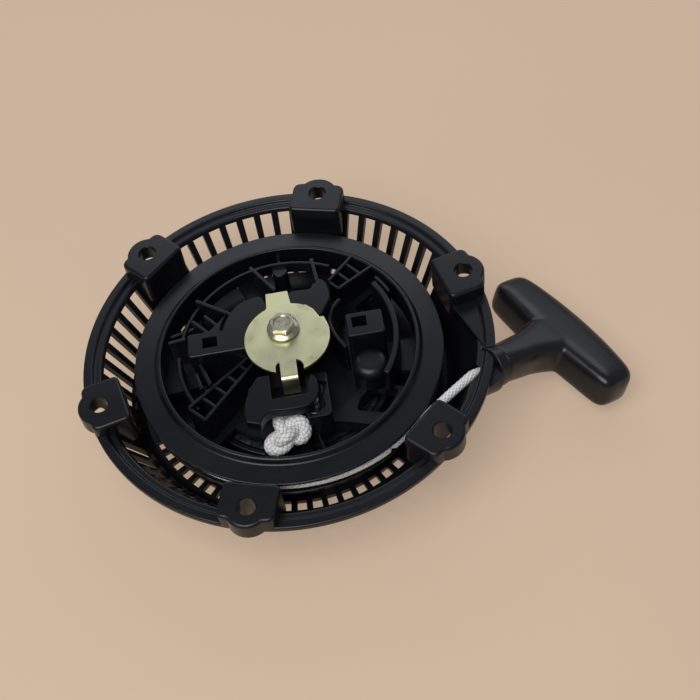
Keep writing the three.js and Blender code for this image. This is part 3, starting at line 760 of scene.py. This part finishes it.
def build_housing():
    pieces = [housing_shell()]
    cut(pieces[0], *vent_openings())
    pieces += [lug_piece(lug_angle(i)) for i in range(LUG_COUNT)]
    pieces += outlet_stiffeners()
    pieces.append(outlet_boss())
    holes = []
    for i in range(LUG_COUNT):
        holes += lug_hole(*polar(LUG_R, lug_angle(i)))
    outlet_bore = joined([cylinder(OUTLET_BORE_R, -22, 0), cylinder(COLLAR_R + GAP, COLLAR_ROOT, 24)])
    insert_bore = cylinder(INSERT_BORE_R, INSERT_BORE_FOOT, POST_TOP + 1)
    made = cut(joined(pieces), *holes, at_outlet(outlet_bore), insert_bore)
    return finished(made, "cast_housing", "housing", BLACK, ["housing"])


def build_collar():
    inner_end = COLLAR_ROOT + GAP
    profile = [(OUTLET_BORE_R, inner_end), (COLLAR_R, inner_end),
               (COLLAR_R, COLLAR_LENGTH), (OUTLET_BORE_R, COLLAR_LENGTH)]
    made = at_outlet(turned(rounded(profile, 0.6), 96))
    return finished(made, "outlet_bush", "housing", GLOSS, ["rope_outlet_collar"])


def build_eyelet():
    """The steel lining of the outlet, just behind the collar's face."""
    inner, outer = ROPE_R + 0.9, ROPE_R + 1.9
    root, face = -5, COLLAR_LENGTH - 0.1
    profile = [(inner, root), (outer, root), (outer, face), (inner, face)]
    made = at_outlet(turned(rounded(profile, 0.3), 64))
    return finished(made, "outlet_lining", "housing", STEEL, ["rope_eyelet"])


# ------------------------------------------------------------------ reel, drawn in its own frame
LEFT_ARM = [(-47, -5.5), (-10, -5.5), (-4, 12), (-9.5, 25.5), (-17.5, 24), (-24.4, 20.5), (-31, 13.7),
            (-36.7, 8.5), (-47, 8.5)]
TOP_ARM = [(2, 10), (18.8, 7), (24.3, 16.3), (23.9, 26.5), (21, 30.5), (15.7, 24.5), (4.6, 25)]
RIGHT_ARM = [(30, -9), (48, -9), (48, 5), (30, 5)]
PAWL_SEAT = [(-21, -24), (-21, -36), (-6, -42), (2, -47), (17, -47), (17, -22)]
# Flat spokes of the web: first angle, last angle, rise above the web.
SPOKES = [
    (-80, -28, 4), (206, 226, 0), (166, 186, 0), (38, 62, 0),
    (-16, 3, 0), (98, 112, 0), (250, 275, 0),
]
# Upright ribs: two plan points, thickness, top.
RIBS = [
    ((-13.9, 54), (-2.6, 36), 2, 39), ((17.9, 53), (20, 28), 2, 39),
    ((-42.4, 34.5), (-24, 21), 2, 43), ((-38.6, 23), (-31, 13.5), 1.8, 44),
    ((-44.9, 21), (-35, 9), 1.8, 44), ((1, 50), (1, 63), 2, 34),
    ((-57.6, 10.6), (-48.8, 11.6), 1.8, 43), ((-57, 18), (-44.9, 21), 1.6, 38),
]
LEFT_RIBS = [((-42.5, -6), (-38.5, -19), 2, 44), ((-45, -11), (-42.7, -20.7), 1.8, 44)]
# Openings through the web on both sides of the rib beside the knot.
WEB_OPENINGS = [
    [(28, -37), (31, -30), (38, -24), (46, -27), (50, -29), (42, -41)],
    [(8, -44), (18, -41), (25, -43), (36, -47), (24, -55), (12, -58)],
]


def soft_rib(first, last, thick, high):
    """An upright rib on the web with softened edges."""
    return bevelled(rib(first, last, thick, RIB_LOW, high), min(0.45, thick * 0.3))


def ladder(first, last, width_first, width_last, cells, high):
    """A ladder-shaped spoke between two plan points, with cells open from above."""
    start, run = Vector(first), Vector(last) - Vector(first)
    side = Vector((-run.y, run.x)).normalized()

    def at(t, s):
        half = (width_first + (width_last - width_first) * t) / 2
        return tuple(start + run * t + side * half * s)

    rails = [soft_rib(at(0, s), at(1, s), 1.8, high) for s in (1, -1)]
    rungs = [soft_rib(at(i / cells, -1), at(i / cells, 1), 1.6, high - 0.6) for i in range(cells + 1)]
    return rails + rungs


def reel_ring():
    """The drum with both flanges of the rope groove."""
    profile = [
        (DRUM_INNER_R, GROOVE_LOW - 2), (FLANGE_LOW_R, GROOVE_LOW - 2), (FLANGE_LOW_R, GROOVE_LOW - 0.4),
        (DRUM_R, GROOVE_LOW + 0.3), (DRUM_R, GROOVE_HIGH - 0.3), (FLANGE_HIGH_R, GROOVE_HIGH + 0.4),
        (FLANGE_HIGH_R, GROOVE_HIGH + 2), (DRUM_R + 1, GROOVE_HIGH + 2.6), (DRUM_R - 0.6, GROOVE_HIGH + 5),
        (DRUM_INNER_R, GROOVE_HIGH + 5),
    ]
    return turned(rounded(profile, 0.8), ROUND)


def thin_arc(radius, start, end, high, low=RIB_LOW, thick=1.6):
    """An upright wall that follows a circle about the hub."""
    return bevelled(sector(radius - thick / 2, radius + thick / 2, start, end, low, high, 20), 0.4)


def reel_web():
    """The floor of the reel and what stands on it, apart from the arms and the curved wall."""
    pieces = [cylinder(45, WEB_LOW, WEB_HIGH, 120)]
    pieces += [sector(40, WEB_R, start, end, WEB_LOW, WEB_HIGH + rise, 20) for start, end, rise in SPOKES]
    pieces += ladder((27.2, 33.4), (43.6, 46.2), 7.4, 12.6, 3, 39)
    pieces += ladder((-16, -5), (-46, -33), 4, 11, 5, 42)
    pieces += [soft_rib(*each) for each in RIBS]
    pieces += [thin_arc(53, 60, 168, 39, 32), thin_arc(57.5, 21, 33, 42), thin_arc(53.5, 176, 212, 39)]
    pieces += [soft_rib(*each) for each in LEFT_RIBS]
    pieces.append(bevelled(sector(52, 55, -33, 30, RIB_LOW, 44, 24), 0.7, 3))
    pieces.append(bevelled(cylinder(4, RIB_LOW, 37, 40, 1, 50), 0.6, 3, 60))
    pieces.append(bevelled(cylinder(9, RIB_LOW, 42, 64, 38.5, -19), 4.5, 8, 60))
    seat_top = PAWL_TOP - PAWL_THICK - GAP
    pieces.append(bevelled(prism(rounded(PAWL_SEAT, 2.5), RIB_LOW, seat_top), 0.6, 2, 50))
    return pieces


def reel_arms():
    """Three arms that stand as high as the hub, two of them on legs, with their square holes."""
    overhang = HUB_TOP - ARM_DROP
    arms = [bevelled(prism(rounded(outline, 1.6), low, HUB_TOP), 0.8, 3, 50)
            for outline, low in ((LEFT_ARM, overhang), (TOP_ARM, overhang), (RIGHT_ARM, RIB_LOW))]
    legs = [rib((-46, 1.5), (-12, 1.5), 13, RIB_LOW, HUB_TOP - 1),
            rib((12, 12), (20, 27), 6, RIB_LOW, HUB_TOP - 1)]
    holes = [block(x, x + 7.2, y, y + 6.2, RIB_LOW - 2, HUB_TOP + 1)
             for x, y in ((-39.8, -1.4), (32.8, -3.9))]
    groove = sector(30.2, 32.2, 112, 166, HUB_TOP - 3, HUB_TOP + 1, 24)
    return cut(joined(arms + legs), *holes, groove)


def s_wall():
    """The tall curved wall between the hub and the right-hand block."""
    middle = [(29.1, 19.7), *bend((29.1, 19.7), (23.6, 15), (22.3, 8.5))]
    middle += bend((22.3, 8.5), (21.6, 0), (28.4, -10.3))
    half_thick = 1.1
    sides = []
    for i, point in enumerate(middle):
        along = Vector(middle[min(i + 1, len(middle) - 1)]) - Vector(middle[max(i - 1, 0)])
        side = Vector((-along.y, along.x)).normalized() * half_thick
        sides.append((Vector(point) + side, Vector(point) - side))
    outline = [tuple(a) for a, b in sides] + [tuple(b) for a, b in reversed(sides)]
    return bevelled(prism(outline, RIB_LOW, 44), 0.7, 3, 50)


def build_reel():
    hub = [cylinder(HUB_R, WEB_LOW, HUB_TOP, 96), cylinder(POST_FOOT_R, 6, RIB_LOW, 64)]
    above = HUB_TOP + 1
    web = joined([*reel_web(), reel_arms(), s_wall(), *hub])
    boolean(web, cylinder(WEB_R, 0, HUB_TOP + 2, ROUND), "INTERSECT")
    cut(web, cylinder(KNOT_R + 0.5, WEB_LOW + 2, above, 64, *KNOT_CENTRE))
    cut(web, *(prism(rounded(outline, 2.5), WEB_LOW - 1, WEB_HIGH + 5) for outline in WEB_OPENINGS))
    whole = joined([web, reel_ring()])
    spring_x, spring_y = PAWL_SPRING_END
    rope_hole = placed(cylinder(ROPE_R + 0.5, 0, 26, 32), *KNOT_CENTRE, ROPE_Z, -118, 90)
    cut(
        whole,
        cylinder(POST_R + GAP, 0, above, 64),
        cylinder(HUB_R - 3, POST_TOP - 2.6, above, 64),
        rope_hole,
        cylinder(PAWL_PIN_BORE_R, WEB_LOW + 4, HUB_TOP, 32, *PAWL_PIVOT),
        cylinder(PAWL_COIL_R + 1.1, PAWL_ROOM, HUB_TOP, 48, *PAWL_PIVOT),
        rib(PAWL_PIVOT, (spring_x, spring_y + 1), 6.5, PAWL_ROOM, HUB_TOP),
        block(-13, 6.5, -33, -17, PLATE_Z + PLATE_THICK - LEG_DROP - 1.5, above),
    )
    return finished(in_reel_frame(whole), "reel_moulding", "reel", BLACK, ["reel"])


# ------------------------------------------------------------------ pawl, guide plate and bolt
def build_pawl():
    outline = [(-15.4, -23.4), *bend((-15.4, -23.4), (-19.5, -28), (-22.3, -36.7))]
    outline += bend(outline[-1], (-23.4, -42), (-22.6, -47.7))
    outline += [(-16.1, -50.2), *bend((-16.1, -50.2), (-14.6, -44.6), (-9, -43.9))]
    outline += bend(outline[-1], (-1, -45.2), (6.5, -44))
    outline += bend(outline[-1], (13, -42), (12.6, -33))
    outline += bend(outline[-1], (12.5, -28), (9.5, -26.5))
    outline += [(7.5, -31.5), (7.5, -37.3), (-9.5, -37.3), (-9.5, -23.2)]
    made = bevelled(prism(outline, PAWL_TOP - PAWL_THICK, PAWL_TOP), 0.7, 3, 50)
    cut(made, cylinder(PAWL_PIN_BORE_R, 0, PAWL_TOP - 1.2, 32, *PAWL_PIVOT))
    return finished(in_reel_frame(made), "pawl_moulding", "pawl", DARK, ["pawl"])


def circle_angle(centre, point):
    return math.degrees(math.atan2(point[1] - centre[1], point[0] - centre[0]))


def plate_outline():
    """The guide plate in plan: a disc with a stepped notch, a square tab and a relief round its leg."""
    notch = [(20.3, 3.9), (18, 4.2), (15.6, 9.4), (12, 13.2)]
    tab = [(5, 15.7), (4.6, 19.4), (4.2, 23.4), (-6.6, 23.4), (-7, 14.4)]
    relief = [(-6, -24.7), (-6, -21.5), *bend((-6, -21.5), (-5, -18), (0.5, -18))]
    relief += [*bend((0.5, -18), (6.4, -18), (7.2, -22.5)), (7.2, -25.1)]

    def rim(first, last):
        start, end = circle_angle(PLATE_CENTRE, first), circle_angle(PLATE_CENTRE, last)
        return arc(PLATE_CENTRE, PLATE_R, start, end if end > start else end + 360, 40)[1:-1]

    return [
        *relief, *rim(relief[-1], notch[0]),
        *notch, *rim(notch[-1], tab[0]),
        *tab, *rim(tab[-1], relief[0]),
    ]


def leg_outline():
    """The side view, as (y, z) points, of the leg that is bent down out of the plate."""
    top = PLATE_Z + PLATE_THICK
    outer, inner = LEG_OUT, LEG_OUT + PLATE_THICK
    side = [(-17, top), (outer + 2.6, top), *bend((outer + 2.6, top), (outer, top), (outer, top - 2.6))]
    side += [(outer, top - LEG_DROP), (inner, top - LEG_DROP), (inner, PLATE_Z - 1)]
    return side + [*bend((inner, PLATE_Z - 1), (inner, PLATE_Z), (inner + 1, PLATE_Z), 4), (-17, PLATE_Z)]


def build_guide():
    plate = bevelled(prism(plate_outline(), PLATE_Z, PLATE_Z + PLATE_THICK), PLATE_BEVEL, 2, 50)
    side, half = leg_outline(), 4
    leg = drawn_out([(-half, y, z) for y, z in side], [(half, y, z) for y, z in side])
    leg = bevelled(leg, PLATE_BEVEL, 2, 50)
    made = in_reel_frame(cut(joined([plate, leg]), cylinder(BOLT_R + GAP, 0, 80, 64)))
    return finished(made, "guide_plate", "ratchet_guide", ZINC, ["ratchet_guide"])


def build_bolt():
    """A hexagon bolt with a flange, a rounded crown and a shallow dish in its head."""
    head = PLATE_Z + PLATE_THICK + GAP + 1.6
    shank = cylinder(BOLT_R, 31, head + 0.1, 48)
    flange = turned(rounded([
        (0, head - 1.3), (BOLT_FLANGE_R - 0.2, head - 1.3), (BOLT_FLANGE_R, head - 0.6),
        (6.2, head + 0.5), (0, head + 0.5),
    ], 0.3), 96)
    hexagon = bevelled(cylinder(BOLT_HEX_R, head, head + 3.9, 6), 0.35, 3, 40)
    crown = turned(rounded([
        (0, head - 1), (BOLT_FLANGE_R, head - 1), (BOLT_FLANGE_R, head + 2.4),
        (5.2, head + 4), (0, head + 4),
    ], 0.3), 96)
    dish = turned([(0, head + 3.2), (3.6, head + 3.2), (4.6, head + 4.2), (0, head + 4.2)], 64)
    whole = joined([shank, flange, cut(boolean(hexagon, crown, "INTERSECT"), dish)])
    whole = placed(whole, turn=BOLT_TURN)
    return finished(whole, "flange_bolt", "housing", BOLT, ["centre_bolt"])


# ------------------------------------------------------------------ handle
def section_loft(sections):
    """A closed skin through sections of the same number of points."""
    count = len(sections[0])
    vertices = [p for section in sections for p in section]
    faces = [tuple(range(count)), tuple(range((len(sections) - 1) * count, len(sections) * count))]
    for i in range(len(sections) - 1):
        for j in range(count):
            k = (j + 1) % count
            faces.append((i * count + j, i * count + k, (i + 1) * count + k, (i + 1) * count + j))
    return facing_out(new_object("loft", vertices, faces))


def oval(half_a, half_b, power, count=48):
    """Points round a superellipse."""
    def squared(value):
        return math.copysign(abs(value) ** (2 / power), value)

    corners = [polar(1, 360 * i / count) for i in range(count)]
    return [(squared(c) * half_a, squared(s) * half_b) for c, s in corners]


def handle_bar():
    """The cross bar of the handle, lofted from end to end with its long outer side bulging."""
    sections, steps = [], 48
    for i in range(steps + 1):
        angle = -90 + 180 * i / steps
        y = HANDLE_HALF * math.sin(math.radians(angle))
        share = abs(y) / HANDLE_HALF
        end = max(0.0, 1 - share ** 18) ** 0.4
        inner = 29.5 + 3.5 * share
        outer = 57.6 - 5.2 * share ** 2
        centre = (inner + outer) / 2 * end + HANDLE_MIDDLE * (1 - end)
        half = (outer - inner) / 2 * end
        thick = HANDLE_HALF_THICK * (1 - 0.03 * share ** 2) * end
        outline = oval(half + 0.01, thick + 0.01, 4.4)
        sections.append([(HANDLE_SEAT + centre + a, y, b) for a, b in outline])
    return section_loft(sections)


def handle_stem():
    """The stem of the handle, which flares and squares off where it meets the bar."""
    sections, steps = [], 30
    for i in range(steps + 1):
        s = STEM_LENGTH * i / steps
        flare = max(0.0, (s - STEM_FLARES) / (STEM_LENGTH - STEM_FLARES))
        wide = STEM_HALF + 9.5 * flare ** 1.6
        share = min(1.0, s / 32)
        outline = oval(wide, 9.2 + 0.6 * share, 2.3 + 2.1 * share)
        sections.append([(HANDLE_SEAT + s, a, b) for a, b in outline])
    return section_loft(sections)


def build_handle():
    body = remeshed(merged([handle_bar(), handle_stem()]), 0.6, 14)
    ropeway = joined([
        cylinder(ROPE_R + 0.8, -60, 60, 32),
        cylinder(HANDLE_POCKET_R, HANDLE_POCKET, HANDLE_SEAT + 70, 48),
    ])
    cut(body, placed(ropeway, tilt=90))
    seat = cylinder(40, -60, HANDLE_SEAT + GAP, 48)
    cut(body, placed(seat, tilt=90))
    made = placed(body, *OUTLET, tilt=OUTLET_SLOPE)
    return finished(made, "pull_handle", "handle", GLOSS, ["handle_grip"], smooth=50)


# ------------------------------------------------------------------ rope pieces
def along_outlet(distance):
    slope = math.radians(OUTLET_SLOPE)
    return OUTLET + Vector((math.cos(slope), 0, -math.sin(slope))) * distance


def build_winding():
    """Turns of rope that lie ever closer to the drum, the first of them drawn in quickly."""
    pitch, drawn_in, weave, samples = 2.1, 1.6, 1.5, 900
    path = []
    for i in range(samples):
        t = ROPE_TURNS * i / samples
        radius = ROPE_TURN_R - pitch * t - drawn_in * (1 - math.exp(-6 * t))
        x, y = polar(radius, ROPE_LEAVES - 360 * t)
        path.append((x, y, ROPE_Z + weave * math.sin(math.pi * t)))
    made = rope_mesh("wound_rope", np.array(path), sides=32)
    return finished(made, "wound_rope", "reel", ROPE, ["rope_winding"], smooth=80)


def build_run():
    """The rope from the reel to the handle."""
    points = [(*polar(ROPE_TURN_R, ROPE_LEAVES), ROPE_Z)]
    points += [(20, -72.1, ROPE_Z + 0.2), (34, -70.9, ROPE_Z + 1.2)]
    points += [(46, -70, ROPE_Z + 3), (54, -69.6, ROPE_Z + 4.2)]
    points += [tuple(along_outlet(s)) for s in (-12, -8, -3, 4, 12, 22, 32, HANDLE_POCKET + 2.4)]
    made = rope_mesh("pull_rope", smooth_path(points, 0.5))
    finished(made, "pull_rope", None, ROPE, ["rope_run"], smooth=80)
    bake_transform(made)
    return made


def build_knot():
    """A tight three-lobed knot with one more loop beside it."""
    x, y = KNOT_CENTRE
    lobes = (x + 0.8, y + 1.2, WEB_HIGH + 10.5)
    knot = trefoil(lobes, KNOT_R - ROPE_R, 3.0, 0.4, turn=75, tilt=-8)
    turn = np.linspace(0, 2 * math.pi, 60, endpoint=False)
    across, along = x - 5 + 4.6 * np.cos(turn), y - 3.4 + 3 * np.sin(turn)
    end_loop = np.stack([across, along, WEB_HIGH + 8 + 2 * np.sin(turn + 1)], 1)
    made = merged([rope_mesh("loop", path, ROPE_R + 0.7, closed=True) for path in (knot, end_loop)])
    made = in_reel_frame(made)
    return finished(made, "end_knot", "reel", ROPE, ["rope_knot"], smooth=80)


# ------------------------------------------------------------------ stage
def build_floor():
    """A flat backdrop in metres, a hair below the starter's face."""
    half = 3
    corners = [(-half, -half, 0), (half, -half, 0), (half, half, 0), (-half, half, 0)]
    floor = new_object("floor", corners, [(0, 1, 2, 3)])
    floor.location.z = -0.0004
    floor.data.materials.append(floor_paper("floor_paper"))


def area_light(name, place, aim, size, power, colour):
    light = bpy.data.lights.new(name, "AREA")
    light.shape = "RECTANGLE"
    light.size, light.size_y = size
    light.energy = power
    light.color = colour
    made = bpy.data.objects.new(name, light)
    made.location = place
    made.rotation_euler = (Vector(place) - Vector(aim)).to_track_quat("Z", "Y").to_euler()
    bpy.context.scene.collection.objects.link(made)


def around(azimuth, elevation, distance):
    """A point seen from the starter in a direction given in degrees."""
    x, y = polar(math.cos(math.radians(elevation)) * distance, azimuth)
    return (x, y, math.sin(math.radians(elevation)) * distance)


def build_lights():
    world = bpy.data.worlds.new("room")
    bpy.context.scene.world = world
    world.use_nodes = True
    background = world.node_tree.nodes["Background"]
    background.inputs["Color"].default_value = (0.90, 0.95, 1.08, 1)
    background.inputs["Strength"].default_value = 0.19
    centre = (0.02, 0, 0.03)
    facing = -90 + CAMERA_TURN
    area_light("window", around(facing + 168, 37, 1.0), centre, (1.2, 0.42), 2.1, (0.95, 0.98, 1.05))
    area_light("softbox", around(facing - 35, 62, 1.1), centre, (0.8, 0.8), 8.0, (1.0, 0.99, 0.97))


def build_camera():
    """The camera, placed about the reel's axis at the height of the lugs and aimed in the reel's frame."""
    rise, roll = math.radians(CAMERA_ELEVATION), math.radians(CAMERA_ROLL)
    back = Vector((0, -math.cos(rise), math.sin(rise)))
    right, up = Vector((1, 0, 0)), Vector((0, math.sin(rise), math.cos(rise)))
    across = right * math.cos(roll) + up * math.sin(roll)
    upright = up * math.cos(roll) - right * math.sin(roll)
    place = (Vector(CAMERA_AIM) + back * CAMERA_DISTANCE) * MM
    pose = Matrix((across, upright, back)).transposed().to_4x4()
    pose.translation = place
    camera = bpy.data.cameras.new("camera")
    camera.lens = CAMERA_LENS
    camera.sensor_width = CAMERA_SENSOR
    made = bpy.data.objects.new("camera", camera)
    turn = Matrix.Translation((0, 0, LUG_TOP * MM)) @ Matrix.Rotation(math.radians(CAMERA_TURN), 4, "Z")
    made.matrix_world = turn @ pose
    bpy.context.scene.collection.objects.link(made)
    bpy.context.scene.camera = made


# ------------------------------------------------------------------ the whole scene
def dress_cad_nodes():
    """Gives the small CAD pieces that stay as they are a procedural material each."""
    looks = {
        "post_insert": STEEL, "recoil_spring": SPRING, "spring_cover": SPRING,
        "thrust_washer": STEEL, "pawl_pin": STEEL, "pawl_spring": SPRING, "friction_spring": SPRING,
        "handle_washer": STEEL, "handle_knot": ROPE,
    }
    for name, material in looks.items():
        for material_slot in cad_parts[name].material_slots:
            material_slot.material = material


build_housing()
build_collar()
build_eyelet()
build_reel()
build_pawl()
build_guide()
build_bolt()
build_handle()
build_winding()
build_run()
build_knot()
dress_cad_nodes()
build_floor()
build_lights()
build_camera()
bpy.context.scene.view_settings.view_transform = "Standard"
